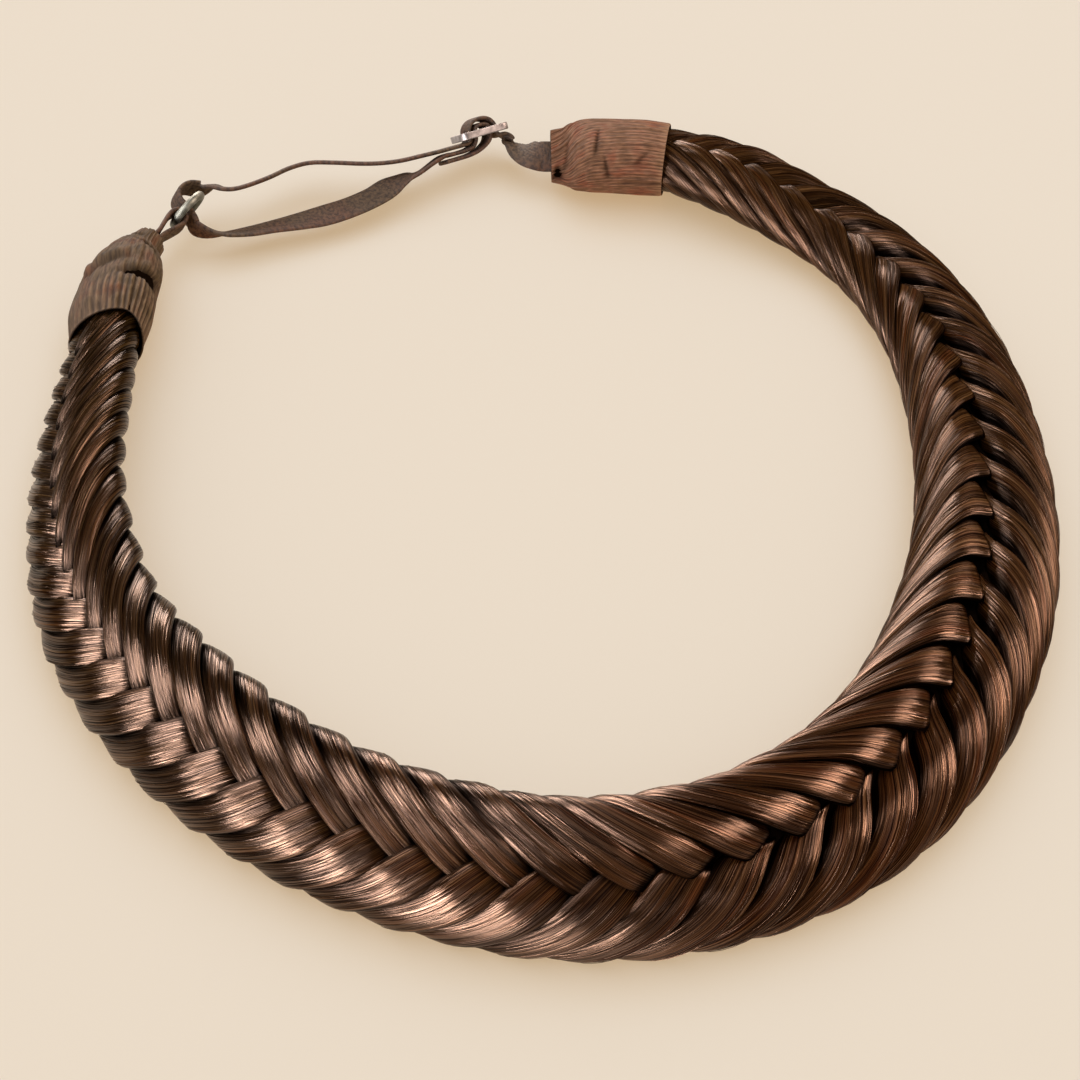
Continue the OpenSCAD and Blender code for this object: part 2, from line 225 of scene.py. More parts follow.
def closed_tube(name, rings, uv=None, attributes=None):
    """One mesh of closed tubes. rings is an array tube x ring x side x 3 in mm, in the tables'
    frame. Each ring's sides join into a loop, neighbouring rings are joined by quads, and a flat
    end closes the first and the last ring. The faces are turned over where the first tube's
    volume, summed as a . (b x c) + a . (c x d) over its quads, comes out below 0. uv is tube x
    ring x (side + 1) x 2, and an attribute is a number that fits tube x ring x side."""
    tubes, length, sides = rings.shape[:3]
    points = (rings.reshape(-1, 3) + HOME) * MM
    index = np.arange(tubes * length * sides).reshape(tubes, length, sides)
    beside = np.roll(index, -1, axis=2)
    quads = np.stack([index[:, :-1], beside[:, :-1], beside[:, 1:], index[:, 1:]], -1)
    caps = np.stack([index[:, 0, ::-1], index[:, -1]], 1)
    a, b, c, d = (rings[0].reshape(-1, 3)[quads[0, ..., i].ravel()] for i in range(4))
    flip = (a * np.cross(b, c) + a * np.cross(c, d)).sum() < 0
    if flip:
        quads, caps = quads[..., ::-1], caps[..., ::-1]
    quads, caps = quads.reshape(-1, 4), caps.reshape(-1, sides)
    mesh = bpy.data.meshes.new(name)
    mesh.vertices.add(len(points))
    mesh.vertices.foreach_set("co", points.ravel())
    corners = np.concatenate([quads.ravel(), caps.ravel()])
    mesh.loops.add(len(corners))
    mesh.loops.foreach_set("vertex_index", corners.astype(np.int32))
    totals = np.concatenate([np.full(len(quads), 4), np.full(len(caps), sides)])
    mesh.polygons.add(len(totals))
    mesh.polygons.foreach_set("loop_start", (np.cumsum(totals) - totals).astype(np.int32))
    mesh.polygons.foreach_set("loop_total", totals.astype(np.int32))
    mesh.polygons.foreach_set("use_smooth", np.ones(len(totals), bool))
    if uv is not None:
        corner_uv = np.stack([uv[:, :-1, :-1], uv[:, :-1, 1:], uv[:, 1:, 1:], uv[:, 1:, :-1]], 3)
        ends = np.stack([uv[:, 0, -2::-1], uv[:, -1, :-1]], 1)
        if flip:
            corner_uv, ends = corner_uv[..., ::-1, :], ends[..., ::-1, :]
        layer = mesh.uv_layers.new(name="strands")
        layer.data.foreach_set("uv", np.concatenate([corner_uv.ravel(), ends.ravel()]))
    for key, value in (attributes or {}).items():
        spread = np.broadcast_to(value, (tubes, length, sides))
        layer = mesh.attributes.new(key, "FLOAT", "POINT")
        layer.data.foreach_set("value", np.ascontiguousarray(spread, float).ravel())
    mesh.update()
    mesh.validate()
    return new_object(name, mesh)


def looped_tube(name, rings, uv, attributes):
    """A tube whose last ring joins its first, so that it is a wall with no ends: the flat ends are
    taken off, and their two rims are joined by faces."""
    piece = closed_tube(name, rings, uv, attributes)
    work = bmesh.new()
    work.from_mesh(piece.data)
    ends = [face for face in work.faces if len(face.verts) == rings.shape[2]]
    bmesh.ops.delete(work, geom=ends, context="FACES_ONLY")
    rims = [edge for edge in work.edges if len(edge.link_faces) == 1]
    bmesh.ops.bridge_loops(work, edges=rims)
    bmesh.ops.recalc_face_normals(work, faces=work.faces)
    for face in work.faces:
        face.smooth = True
    work.to_mesh(piece.data)
    work.free()
    return piece


# Braid

def loop_centre(row):
    """Centre of the braid's section: on a circle of the row's radius, at the height at which the
    tilted oval section just touches the surface, plus the row's lift."""
    half = row[..., HALF_WIDTH]
    height = np.hypot(half * cosd(row[..., TILT]), THICKNESS_SHARE * half * sind(row[..., TILT]))
    x = row[..., RADIUS] * sind(row[..., ANGLE])
    y = -row[..., RADIUS] * cosd(row[..., ANGLE])
    return np.stack([x, y, height + row[..., LIFT]], -1)


PATH_STEPS = 2600
path_rows = smooth_row(LOOP, np.linspace(0, len(LOOP) - 1, PATH_STEPS + 1))
path_place = loop_centre(path_rows)
path_len = run_length(path_place)
# How many locks have begun by each step of the path
path_lock = np.concatenate([[0], np.cumsum(np.diff(path_len) / path_rows[:-1, PITCH])])
path_lock *= LOCK_COUNT / path_lock[-1]
path_way = unit(np.gradient(path_place[:, :2], axis=0))
BRAID_LEN = path_len[-1]


def along_path(values, s):
    """Columns of values known at the path's steps, read at the lengths s."""
    return np.stack([np.interp(s, path_len, column) for column in values.T], -1)


def round_head(angle):
    """Place round the head, from 0 in the left sleeve to 1 in the right one."""
    return (angle - LOOP[0, ANGLE]) / (LOOP[-1, ANGLE] - LOOP[0, ANGLE])


def on_oval(centre, way, tilt, half_w, half_t, angle, lift, valley=1):
    """Point at an angle in degrees round a tilted oval section, square to the level direction way:
    the half width times the angle's cosine along the wide axis, the half thickness times its sine
    along the other, both times the valley's share, and then lift mm along the oval's normal."""
    out = np.stack([way[..., 1], -way[..., 0], np.zeros(way.shape[:-1])], -1)
    wide = sind(tilt) * out - cosd(tilt) * UP
    thick = cosd(tilt) * out + sind(tilt) * UP
    normal = unit(np.stack([cosd(angle) / half_w, sind(angle) / half_t], -1))
    along_wide = half_w * valley * cosd(angle) + lift * normal[..., 0]
    along_thick = half_t * valley * sind(angle) + lift * normal[..., 1]
    return centre + along_wide[..., None] * wide + along_thick[..., None] * thick


def braid_surface(s, phi, lift, trough):
    """Point of the braid. s is the length along it in mm, phi the degrees round its oval section
    (90 the middle of the upper face, 0 the outer edge), lift the height above that oval, and
    trough how much of the radius the valley along the middle, a bell over the cosine of phi,
    takes away."""
    row = along_path(path_rows, s)
    half = row[..., HALF_WIDTH]
    return on_oval(loop_centre(row), unit(along_path(path_way, s)), row[..., TILT, None], half,
                   THICKNESS_SHARE * half, phi, lift, 1 - trough * bell(cosd(phi) / 0.3))


def trail(outer, tip_angle, from_spine):
    """How far a lock trails behind its tip, in mm: the table's column for the tip's place round the
    head, read along a smooth curve at from_spine degrees round the section from the spine."""
    table, at = (OUTER_TRAIL, OUTER_AT) if outer else (INNER_TRAIL, INNER_AT)
    share = np.stack([np.interp(tip_angle, at, column) for column in np.eye(len(at))], -1)
    return (smooth_row(table, from_spine / TRAIL_STEP + 1) * share).sum(-1)


def lock_place(outer, lock, tip_angle, from_spine):
    """Length along the braid at which a lock lies, from_spine degrees round the section from the
    spine. Near the braid's two ends it is eased, so that no lock runs past them: the room r left
    to the end becomes (r + sqrt(r^2 + 6)) / 2."""
    tip = lock + (0.5 if outer else 0)
    beyond = np.maximum(tip - path_lock[-1], 0) * path_rows[-1, PITCH]
    s = np.interp(tip, path_lock, path_len) + beyond - trail(outer, tip_angle, from_spine)
    for end, way in ((END_MARGIN, 1), (BRAID_LEN - END_MARGIN, -1)):
        room = way * (s - end)
        s = end + way * (room + np.sqrt(room ** 2 + 6)) / 2
    return s


# A lock's own shape, in mm, degrees from the spine, and counts of rings and of points round it
LOCK_RINGS = 46
LOCK_TOP = 44
LOCK_UNDER = 10
LOCK_OVERLAP = 1.1
LOCK_BODY = 1.6
LOCK_WIDTH = 8.0
TIP_AT = 0.8
UNDERSIDE = 176
END_MARGIN = 0.2
# How far apart two locks take their pattern
PATTERN_STEP = 13.7
HAIRS_PER_LOCK = 10
STRAND_RINGS = 20
STRAND_RADIUS = 0.075


def open_spine(angle):
    """How far the spine stands open: 0 on the left and front, 1 on the right."""
    return smoothstep(2, 26, angle) * (1 - 0.7 * smoothstep(125, 150, angle))


def zones(angle):
    """Where round the head each trait of the braid holds, from 0 to 1: the spine stands open, the
    left end is round as a rope, the front begins, the tips on the right lie free, they spread
    there as fans, and the upper right end begins."""
    return {"gap": open_spine(angle), "rope": smoothstep(-55, -80, angle),
            "front": smoothstep(-46, -18, angle), "free": smoothstep(30, 62, angle),
            "fans": smoothstep(60, 74, angle) * smoothstep(114, 100, angle),
            "top_end": smoothstep(68, 100, angle)}


def lock_section():
    """Across the lock from its rear edge over the top to its front edge and back underneath, as
    arrays of u, from -0.5 to 0.5, and of depth below the top, as shares of the bulge, and of the
    body: first a flat lock with round edges, then a round one. Each top is the superellipse
    (1 - |2u|^power)^0.5 - 1, and the underside half an ellipse."""
    x = np.linspace(-1, 1, LOCK_TOP + 1)
    u_top = 0.5 * (0.55 * np.sin(x * np.pi / 2) + 0.45 * x)
    flat, round_top = ((1 - np.abs(2 * u_top) ** power) ** 0.5 - 1 for power in (4, 2.1))
    u_under = np.linspace(0.5, -0.5, LOCK_UNDER + 2)[1:-1]
    under = -(1 - (2 * u_under) ** 2) ** 0.5
    low = -np.ones(LOCK_UNDER)
    return (np.concatenate([u_top, u_under]), np.concatenate([flat, low]),
            np.concatenate([round_top, low]), np.concatenate([np.zeros(LOCK_TOP + 1), under]))


def strand_relief(rng, tubes, rings, u, width):
    """Relief of the single strands over a lock: a few waves of 1 to 3 mm across, whose places
    wander a little along the lock, and a fine comb of steps that fades from one set to the next."""
    v = np.linspace(0, 1, rings)[None, :, None]
    across = u[None, None, :] * width
    relief = np.zeros((tubes, rings, len(u)))
    for wave, height in ((2.6, 0.011), (1.3, 0.009), (0.75, 0.008)):
        phase, drift, bend = (rng.uniform(0, TAU, (tubes, 1, 1)) for _ in range(3))
        wander = 0.5 * np.sin(drift + 2.2 * v) + 0.25 * np.sin(bend + 6 * v)
        relief += height * np.sin(TAU * (across / wave) + phase + wander)
    stations = 5
    comb = rng.normal(0, 1, (tubes, stations, len(u)))
    comb = (comb + 0.35 * np.roll(comb, 1, 2) + 0.35 * np.roll(comb, -1, 2)) / 1.12
    place = np.linspace(0, stations - 1.001, rings)
    low = np.floor(place).astype(int)
    mix = smoothstep(0, 1, place - low)[None, :, None]
    return relief, 0.009 * (comb[:, low] * (1 - mix) + comb[:, low + 1] * mix)


def lock_ends(outer, u, angle, pitch, gap, free):
    """Degrees from the spine at which a lock's top ends, over its width u. Where the spine is
    closed, the tip shows as far as the next lock of the other row, whose rear edge crosses it.
    Where it is open, the tip is cut across, at a slant of its own and with eased corners."""
    near = np.full(angle.shape, float(TRAIL_STEP))
    crossing = 19.6 * pitch / (trail(False, angle, near) + trail(True, angle, near))
    closed_end = crossing * (LOCK_OVERLAP * u + (LOCK_OVERLAP - 1) / 2) + 7
    if outer:
        corners = 4 * smoothstep(0.32, 0.5, np.abs(u))
        open_end = -4 * u - 5 + free * (5.5 - 6 * u + corners)
    else:
        corners = 4 * smoothstep(0.25, 0.5, u) + smoothstep(0.4, 0.5, -u)
        open_end = 8 + 20 * u + corners
    return closed_end * (1 - gap) + open_end * gap


def outer_form(u, from_spine, gap, rope, front, free, top_end, **others):
    """How an outer lock lies: its lean, a height in mm that changes with u, how round it is, from
    0 to 1, its bulge in mm, where shade from its neighbours is painted on it, and where only its
    sheen is weaker. Along the edge its front side is up and hides the next lock's rear side, on the
    right as far as the middle, so the painted shade reaches that far there. At the spine its rear
    side is up."""
    at_spine = smoothstep(32, 2, from_spine)
    at_edge = smoothstep(12, 46, from_spine)
    edge_tilt = 0.9 + 0.8 * gap
    spine_tilt = 0.45 - 1.35 * gap
    lean = 2 * u * (edge_tilt * at_edge - spine_tilt * at_spine + 0.3 * gap)
    level = -(1.1 * gap + 0.5 * rope) * at_spine
    roundness = np.clip(0.3 * at_edge + 0.7 * gap + 0.3 * rope, 0, 1)
    bulge = 1.2 + (0.3 + 0.6 * gap) * roundness
    # Painted shade: the colour is darker where a neighbouring lock covers this one or shades it
    under_next = (smoothstep(100, 30, from_spine)
                  * smoothstep(0.1 * free - 0.1, 0.1 * free - 0.3, u))
    painted_shade = (at_spine * smoothstep(0.24, 0.42, u * (1 - 2 * gap))
              + at_edge * smoothstep(0.14, 0.4, -u) + 0.9 * gap * under_next)
    dulled = ((0.35 + 0.2 * free) * gap + 0.2 * top_end
              + 0.85 * (1 - gap) * front * smoothstep(24, 12, from_spine))
    return lean + level, roundness, bulge, painted_shade, dulled


def inner_form(u, from_spine, gap, rope, front, fans, top_end, **others):
    """How an inner lock lies, in the same five values. At the spine its rear side is up and its
    front side is hidden; where the spine stands open, that holds over more of the fan."""
    at_spine = smoothstep(32, 2, from_spine)
    at_edge = smoothstep(18, 55, from_spine)
    over_fan = smoothstep(32 + 26 * gap, 2, from_spine)
    edge_tilt = 0.8 - 1.3 * gap - 0.8 * rope
    spine_tilt = 0.6 + 0.5 * gap
    lean = 2 * u * (edge_tilt * at_edge - spine_tilt * over_fan)
    level = (0.4 * gap + 0.5 * rope) * at_spine
    roundness = np.clip(at_edge * (0.45 + 0.55 * rope) + 0.4 * rope + (0.2 + 0.3 * at_edge) * gap, 0, 1)
    bulge = 1.2 + 0.9 * roundness
    # Painted shade: the colour is darker where a neighbouring lock covers this one or shades it
    painted_shade = ((1 - 0.45 * gap) * over_fan * smoothstep(0.2, 0.38, u)
              + 0.65 * gap * at_edge * smoothstep(0.14, 0.36, u)
              + (1 - gap) * at_edge * smoothstep(0.08, 0.34, -u)
              + 0.6 * gap * smoothstep(70, 40, from_spine) * smoothstep(0.36, 0.46, -u))
    dulled = (0.8 * (1 - gap) * front * smoothstep(28, 12, from_spine)
              + (0.7 - 0.3 * front) * (1 - gap) * (1 - rope) * smoothstep(44, 62, from_spine)
              + rope * (0.45 + 0.3 * smoothstep(38, 52, from_spine))
              + 0.3 * fans * smoothstep(24, 12, from_spine)
              + 0.8 * top_end * smoothstep(8, 18, from_spine) * smoothstep(62, 48, from_spine))
    return lean + level, roundness, bulge, painted_shade, dulled


def locks(name, outer, first, last):
    """A row of locks. Each is a flat bundle carried from the seam on the underside, round the edge
    of the braid and over the upper face to the spine, where it dives under the other row. Its
    height above the braid's oval is its section's bulge, plus its lean and the strands' relief,
    less the dive at the tip and a dip at the seam. Returns the piece, the places of the locks'
    tops with their shade, and the locks' angles round the head."""
    rng = np.random.default_rng(SEED + first + 1000 * outer)
    u, flat, round_top, under = lock_section()
    on_top = under == 0
    count = last - first
    number = np.arange(first, last)[:, None, None] + 0.5
    row = along_path(path_rows, np.interp(number, path_lock, path_len))
    angle, pitch = row[..., ANGLE], row[..., PITCH]
    zone = zones(angle)
    gap, free = zone["gap"], zone["free"]
    along = np.linspace(0, 1, LOCK_RINGS)[None, :, None]
    from_end = np.interp(along, [0, 0.5, TIP_AT, 1], [UNDERSIDE, 26, 0, 0])
    past = np.clip((along - TIP_AT) / (1 - TIP_AT), 0, 1)
    turn = np.clip(past / 0.4, 0, 1) * np.pi / 2
    ends = lock_ends(outer, u, angle, pitch, gap, free)
    from_spine = (from_end + ends * smoothstep(70, 0, from_end)
                  - (1 - gap) * 21 * past - gap * 4 * np.sin(turn))
    dive = ((1 - gap) * (0.9 * past ** 1.5 + 3.6 * past ** 3)
            + gap * (1 - np.cos(turn) + 5 * np.clip(past - 0.4, 0, 1))
            + gap * 0.7 * np.clip(1 - from_end / 24, 0, 1) ** 2)
    # An outer lock narrows towards the open spine
    share = 1 - ((0.14 + 0.08 * free) * gap * smoothstep(34, 4, from_spine) if outer else 0)
    across = (0.5 - (0.5 - u) * share) * (LOCK_OVERLAP + 0.12 * gap)
    s = lock_place(outer, number + across, angle, from_spine)
    phi = 90 - from_spine if outer else 90 + from_spine
    form = outer_form if outer else inner_form
    lean, roundness, bulge, painted_shade, dulled = form(u, from_spine, **zone)
    seam = 1.3 * smoothstep(155, UNDERSIDE, from_spine)
    waves, comb = strand_relief(rng, count, LOCK_RINGS, u, LOCK_WIDTH)
    waves, comb = waves * on_top, comb * on_top
    own = rng.normal(0, 0.05, (count, 1, 1))
    lift = (bulge * (flat * (1 - roundness) + round_top * roundness) + LOCK_BODY * under
            + waves + comb + lean - dive - seam + own)
    points = braid_surface(s, phi, lift, 0.14 + 0.1 * gap)
    # Nothing goes below the surface that the braid lies on
    points[..., 2] = (points[..., 2] + np.sqrt(points[..., 2] ** 2 + 0.3)) / 2
    # Lines of equal v are square to the strands, so the sheen's tangent runs straight across them
    middle = points[:, :, LOCK_TOP // 2]
    strand_way = unit(np.gradient(middle, axis=1))
    aside = ((points - middle[:, :, None]) * strand_way[:, :, None]).sum(-1)
    u_mm = 0.85 * pitch * u + PATTERN_STEP * number
    uv = np.stack(np.broadcast_arrays(u_mm, run_length(middle)[..., None] + aside), -1) / UV_MM
    uv = np.concatenate([uv, uv[:, :, :1]], 2)
    # Painted shade: darker where the tip dives under the other row and on the lock's rounded sides;
    # between darkens the grooves of the strand waves, also as painted shade
    tip_shade = smoothstep(0.1 * (1 - gap), 0.22 + 0.28 * (1 - gap), past)
    side_shade = smoothstep(0.45, 0.5, np.abs(u))
    shade = {"round_head": round_head(angle), "between": np.clip(0.5 - 16 * waves, 0, 1),
             "painted_shade": np.clip(painted_shade + tip_shade + side_shade, 0, 1),
             "dulled": np.clip(dulled, 0, 1)}
    layers = [points, shade["painted_shade"][..., None],
              np.broadcast_to(shade["dulled"], s.shape)[..., None]]
    tops = np.concatenate(layers, -1)[:, :, :LOCK_TOP + 1]
    return closed_tube(name, points, uv, shade), tops, angle


def loose_strands(name, tops, angle, per_lock):
    """Single hairs that stand off the locks: each follows a lock's top along a line that wanders
    a little across it, at a height that rises and falls, as a tube of three sides. A real hair is
    0.08 mm; these are drawn 0.15 mm across, so that they show."""
    rng = np.random.default_rng(SEED + len(tops) + per_lock)
    lock = np.repeat(np.arange(len(tops)), per_lock)[:, None]
    count = len(lock)
    first, last = rng.uniform(9, 18, (count, 1)), rng.uniform(27, 36.5, (count, 1))
    w = np.linspace(0, 1, STRAND_RINGS)[None]
    ring = first + (last - first) * w
    column = (rng.uniform(0.05, 0.95, (count, 1)) * LOCK_TOP
              + rng.normal(0, 1.4, (count, 1)) * np.sin(rng.uniform(0, TAU, (count, 1)) + 3 * w))
    column = np.clip(column, 1, LOCK_TOP - 1.01)
    along_lock, over_lock = np.gradient(tops[..., :3], axis=(1, 2))
    outward = unit(np.cross(along_lock, over_lock))
    outward *= np.sign(outward[:, 30, LOCK_TOP // 2, 2].mean())
    grid = np.concatenate([tops, outward], -1)
    r, c = np.floor(ring).astype(int), np.floor(column).astype(int)
    fr, fc = (ring - r)[..., None], (column - c)[..., None]
    found = ((grid[lock, r, c] * (1 - fc) + grid[lock, r, c + 1] * fc) * (1 - fr)
             + (grid[lock, r + 1, c] * (1 - fc) + grid[lock, r + 1, c + 1] * fc) * fr)
    up = found[..., 5:]
    wave = 0.6 + 0.4 * np.sin(5 * w + rng.uniform(0, TAU, (count, 1)))
    high = (0.05 + rng.gamma(1.2, 0.07, (count, 1)) * wave) * np.sin(np.pi * w) ** 0.5
    centre = found[..., :3] + high[..., None] * up
    aside = unit(np.cross(up, np.gradient(centre, axis=1)))
    turn = (np.arange(3) * TAU / 3 + np.pi / 2)[:, None]
    taper = 0.25 + 0.75 * np.sin(np.pi * np.clip(w, 0.03, 0.97)) ** 0.5
    thick = STRAND_RADIUS * taper[..., None, None]
    rings = centre[:, :, None] + thick * (np.cos(turn) * aside[:, :, None]
                                          + np.sin(turn) * up[:, :, None])
    rings[..., 2] = np.maximum(rings[..., 2], 0.05)
    u = rng.uniform(0, 90, (count, 1, 1)) + np.linspace(0, 0.1, 4)
    uv = np.stack(np.broadcast_arrays(u, run_length(centre)[..., None]), -1) / UV_MM
    # Each hair carries the painted shade and the dulled sheen of the lock beneath it
    shade = {"round_head": round_head(angle[lock[:, 0]]), "painted_shade": found[..., 3, None],
             "dulled": found[..., 4, None]}
    return closed_tube(name, rings, uv, shade)


def braid_core(name):
    """The inside of the braid, coloured nearly black as painted shade: its oval section, 2.9 mm
    below the locks, along the path.
    """
    s = np.linspace(0, BRAID_LEN, 240)[:, None]
    phi = np.linspace(0, 360, 24, endpoint=False)[None, :]
    s, phi = np.broadcast_arrays(s, phi)
    return closed_tube(name, braid_surface(s, phi, np.full(s.shape, -2.9), 0.24)[None])


# Sleeves

def sleeve(name, table, neck_first, ribs, rib_height, rib_fade, wrinkle_height, reach, hug, creases):
    """A knitted tube with a wall. Its outer face is the table's tilted oval with ribs along it,
    which fade by rib_fade away from the mouth, wrinkles that run along it and wander, and the
    table of creases, each a bell-shaped valley. Its inner face is the same oval, a wall further
    in. The mouth reaches further on its inner side by reach, and hugs the braid by hug, in mm."""
    rng = np.random.default_rng(SEED + len(name))
    rows = smooth_row(table, np.linspace(0, len(table) - 1, SLEEVE_RINGS))
    if not neck_first:
        rows = rows[::-1]
    way = unit(np.gradient(rows[:, :2], axis=0))
    towards_mouth = np.concatenate([way, 0 * way[:, :1]], 1)[:, None]
    from_mouth = np.linspace(1, 0, len(rows))[:, None]
    sides = ribs * RIB_SIDES
    angle = np.linspace(0, 360, sides, endpoint=False)[None, :]
    mouth = reach * np.clip(cosd(angle - 240), 0, 1) ** 2 * smoothstep(0.4, 0, from_mouth)
    section = (rows[:, None, :3] + mouth[..., None] * towards_mouth,
               (way if neck_first else -way)[:, None], rows[:, 5, None, None], rows[:, 3, None],
               rows[:, 4, None], angle)
    wander = (0.6 * np.sin(2.3 * np.radians(angle) + 5 * from_mouth)
              + 0.4 * np.sin(9 * from_mouth + 2))
    at_mouth = smoothstep(0.32, 0.14, from_mouth) * bell((angle - 165) / 55, 4)
    rib = cosd(ribs * angle + 40 * wander) * (1 - rib_fade * (1 - at_mouth))
    lift = rib_height * (rib - 1) * (1 - 0.4 * from_mouth)
    for waves in (9, 14, 19, 25, 32):
        start, bend = rng.uniform(0, 360, 2)
        cycles, phase = rng.uniform(0.5, 1.1), rng.uniform(0, TAU)
        strength = 0.5 + 0.5 * np.sin(TAU * from_mouth * cycles + phase)
        drift = 70 * np.sin(3 * from_mouth + bend)
        lift = lift + wrinkle_height * strength * cosd(waves * angle + start + drift)
    # Painted shade: each crease is coloured as dark as its table says, and the inner wall is coloured
    # fully dark
    hollow_shade = np.zeros(lift.shape)
    for place, middle, slope, run, width, deep, dark in creases:
        aside = angle - middle
        spread = width * np.maximum(1 + 0.4 * aside / run, 0.2)
        shape = bell((from_mouth - place - slope * aside / 100) / spread) * bell(aside / run, 4)
        lift = lift - deep * shape
        hollow_shade = np.maximum(hollow_shade, dark * shape)
    drawn_in = hug * smoothstep(0.16, 0, from_mouth)
    wall = SLEEVE_WALL * (0.4 + 0.6 * smoothstep(0, 0.15, from_mouth))
    outside = on_oval(*section, lift * smoothstep(0, 0.02, from_mouth) ** 0.5 - drawn_in)
    inside = on_oval(*section, -wall - drawn_in)[::-1][::(SLEEVE_RINGS - 1) // (INNER_RINGS - 1)]
    rings = np.concatenate([outside, inside])[None]
    u = np.linspace(0, 1, sides + 1) * ribs * RIB_PATTERN
    length = run_length(rings[0, :, 0])[:, None]
    uv = np.stack(np.broadcast_arrays(u[None], length), -1)[None] / UV_MM
    none = np.zeros((INNER_RINGS, sides))
    rim = smoothstep(0.07, 0, from_mouth) * (0.4 + 0.3 * rib)
    shade = {"rib": np.concatenate([0.5 + 0.5 * rib, none]),
             "hollow_shade": np.concatenate([hollow_shade, none + 1]), "mouth_rim": np.concatenate([rim, none])}
    return looped_tube(name, rings, uv, shade)


# Strap: paths in mm, from the ring's and the slider's own middle or in the tables' frame

ring_n = unit(RING_FACE)
neck_way = LEFT_SLEEVE[0, :3] - RING_POS
ring_a = unit(neck_way - (neck_way @ ring_n) * ring_n)
ring_b = unit(np.cross(ring_a, ring_n))
slider_u = unit(SLIDER_RUN)
slider_n = unit(np.cross(slider_u, SLIDER_BARS))
slider_v = np.cross(slider_n, slider_u)


def at_slider(p):
    """Place p[0] along the slider and p[1] off its face."""
    return SLIDER_POS + p[0] * slider_u + p[1] * slider_n


def at_ring(towards_neck, off):
    """Place so far from the ring's middle towards the sleeve's neck, and off its face."""
    return RING_POS + towards_neck * ring_a + off * ring_n


TAB_HALF = [(15.6, 0.64, 5.2), (13.2, 0.64, 5.2), (10, 0.7, 5.2), (7, 1.35, 4.8), (5.2, 1.72, 4.4),
            (3.9, 1.76, 4.2), (2.7, 1.35, 4.2), (2.12, 0.62, 4.2), (2.04, 0, 4.2)]
SEWN_FOLD = [(-10.5, -4.3), (-7, -4.3), (-4, -4.2), (-1.4, -3.6), (0.7, -2.5), (1.65, -1.2),
             (1.75, 0), (1.6, 1.1), (0.95, 1.62), (0, 1.75), (-0.95, 1.62), (-1.6, 1.1), (-1.75, 0),
             (-2.1, -1.4), (-3.1, -2.6), (-5, -3), (-8, -3), (-10.5, -3)]
OVER_PASS = [(-10.5, -1.6), (-8, -1.6), (-5.4, -1.65), (-4.1, -1.62), (-3.35, -1.15), (-3.2, 0),
             (-3.05, 1.3), (-2.3, 2.4), (-1.2, 3), (0, 3.12), (1.2, 3), (2.3, 2.4), (3.05, 1.3),
             (3.2, 0), (3.35, -1.15), (4.1, -1.62), (5.4, -1.8), (6.6, -2.9)]
RING_TURN = [(-1.9, -4.6, 5.2), (-1.3, -2.4, 5.6), (-0.7, -0.2, 6), (-0.6, 1.9, 6), (0.2, 3.4, 6),
             (2.1, 4.2, 6), (4.6, 3.6, 6), (6.8, 1.4, 6.2)]
LOWER_RUN = [((-27, 91.8, 7), ON_EDGE), ((-30.4, 90.2, 6.6), ON_EDGE + LYING),
             ((-33.6, 88, 6), LYING), ((-37.2, 84.8, 5.6), LYING),
             ((-42.4, 81.6, 5.2), LYING), ((-48, 79, 5), LYING),
             ((-53.4, 77, 5), ON_EDGE + 3 * LYING), ((-59, 75.1, 5.1), ON_EDGE + LYING),
             ((-64.4, 72.9, 5.5), 2 * ON_EDGE + LYING), ((-69.6, 71.6, 6), ON_EDGE)]
UPPER_RUN = [(place, ON_EDGE) for place in (
    (-73.2, 83.4, 9.8), (-70.6, 82.6, 9.7), (-68, 83, 9.4), (-64.8, 84.8, 9.1), (-60.6, 87.6, 9),
    (-56.4, 90.8, 9), (-52, 92.7, 9), (-46.4, 92.9, 8.9), (-40.6, 92.8, 8.7), (-36, 93.2, 8.5),
    (-31.5, 94.2, 8.4), (-27, 96, 8.3))]
SLEEVE_RUN = [((-5.9, 104, 5.9), ON_EDGE), ((-4.8, 101.9, 6.8), 2 * ON_EDGE + LYING),
              ((-3.1, 99, 7.6), LYING), ((-1.2, 96.9, 8), LYING + AT_NECK),
              ((1.2, 96.3, 8), AT_NECK), ((4.2, 96.3, 8), AT_NECK), ((7, 96.3, 8), AT_NECK)]


def strap_row(place, across, width):
    """A row of a strap's table: its place, the direction across it, and its width."""
    return np.concatenate([place, unit(across), [width]])


STRAP_TABLE = np.array(
    [strap_row(at_slider(p), slider_v, STRAP_W) for p in SEWN_FOLD]
    + [strap_row(place, across, STRAP_W) for place, across in LOWER_RUN]
    + [strap_row(at_ring(-away, off), ring_b, width) for away, off, width in RING_TURN]
    + [strap_row(place, across, STRAP_W) for place, across in UPPER_RUN]
    + [strap_row(at_slider(p), slider_v, STRAP_W) for p in OVER_PASS]
    + [strap_row(place, across, STRAP_W) for place, across in SLEEVE_RUN])
TAB_TABLE = np.array(
    [strap_row(at_ring(towards, off), ring_b, width) for towards, off, width in TAB_HALF]
    + [strap_row(at_ring(towards, -off), ring_b, width)
       for towards, off, width in TAB_HALF[-2::-1]])


